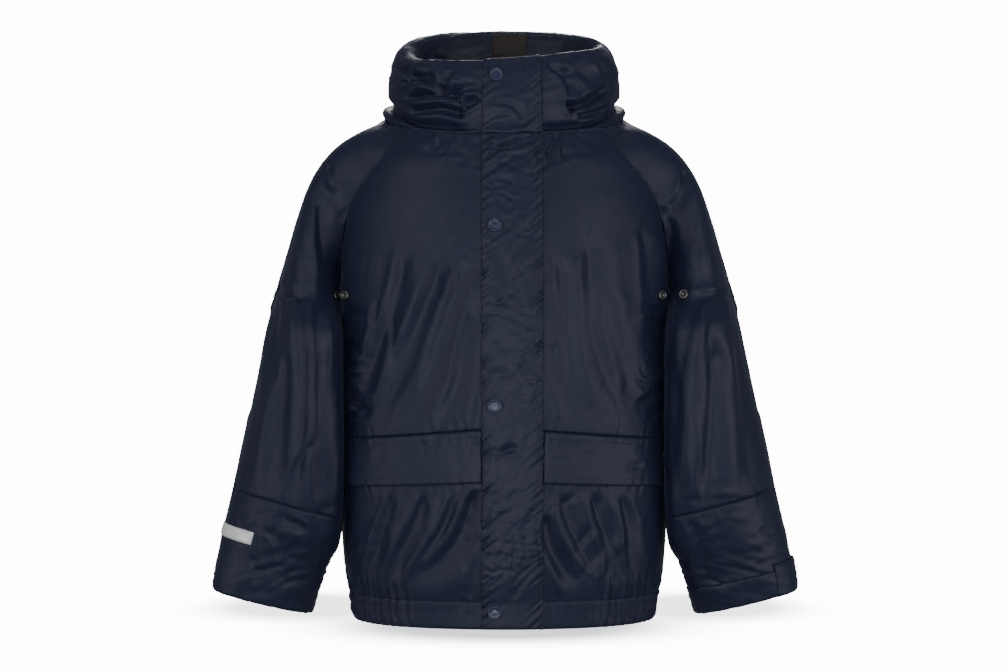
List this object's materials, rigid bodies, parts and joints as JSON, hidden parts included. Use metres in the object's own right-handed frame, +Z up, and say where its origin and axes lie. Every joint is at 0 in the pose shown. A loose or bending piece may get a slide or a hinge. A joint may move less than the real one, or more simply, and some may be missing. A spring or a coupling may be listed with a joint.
{
  "type": "kids raincoat",
  "caption": "Child's dark navy raincoat with raglan sleeves, storm flap, pocket flaps and a hood rolled into its stand collar, filled out as worn.",
  "frame": {"origin": "middle of the wearer's shoulder line, at the neckline, where the garment hangs from the wearer", "axes": "+X to the wearer's left, +Y to the back, +Z up"},
  "size_m": [0.6519, 0.2317, 0.666],
  "materials": {
    "shell_cloth": "coated weave with a soft sheen",
    "collar_inside": "coated weave, duller",
    "zip": "woven tape",
    "patch": "matt woven",
    "reflective": "silver retroreflective tape",
    "snap_caps": "glossy enamel",
    "eyelets": "dark semi-gloss"
  },
  "bodies": {
    "root": {"front_upper_right": "shell_cloth", "front_upper_left": "shell_cloth", "front_lower_right": "shell_cloth", "front_lower_left": "shell_cloth", "pocket_flap_right": "shell_cloth", "pocket_flap_left": "shell_cloth", "back": "shell_cloth", "sleeve_upper_right": "shell_cloth", "sleeve_upper_left": "shell_cloth", "sleeve_lower_right": "shell_cloth", "sleeve_lower_left": "shell_cloth", "reflective_strip": "reflective", "cuff_band_left": "shell_cloth", "cuff_tab_left": "shell_cloth", "hem_right": "shell_cloth", "hem_left": "shell_cloth", "hem_back": "shell_cloth", "storm_flap": "shell_cloth", "storm_flap_collar": "shell_cloth", "zip_tape": "zip", "collar_roll": "shell_cloth", "collar_outer": "shell_cloth", "collar_inner": "collar_inside", "hood_rolled": "shell_cloth", "neck_patch": "patch", "snap_1": "snap_caps", "snap_2": "snap_caps", "snap_3": "snap_caps", "snap_4": "snap_caps", "eyelet_body_right": "eyelets", "eyelet_sleeve_right": "eyelets", "eyelet_body_left": "eyelets", "eyelet_sleeve_left": "eyelets"}
  },
  "joints": []
}
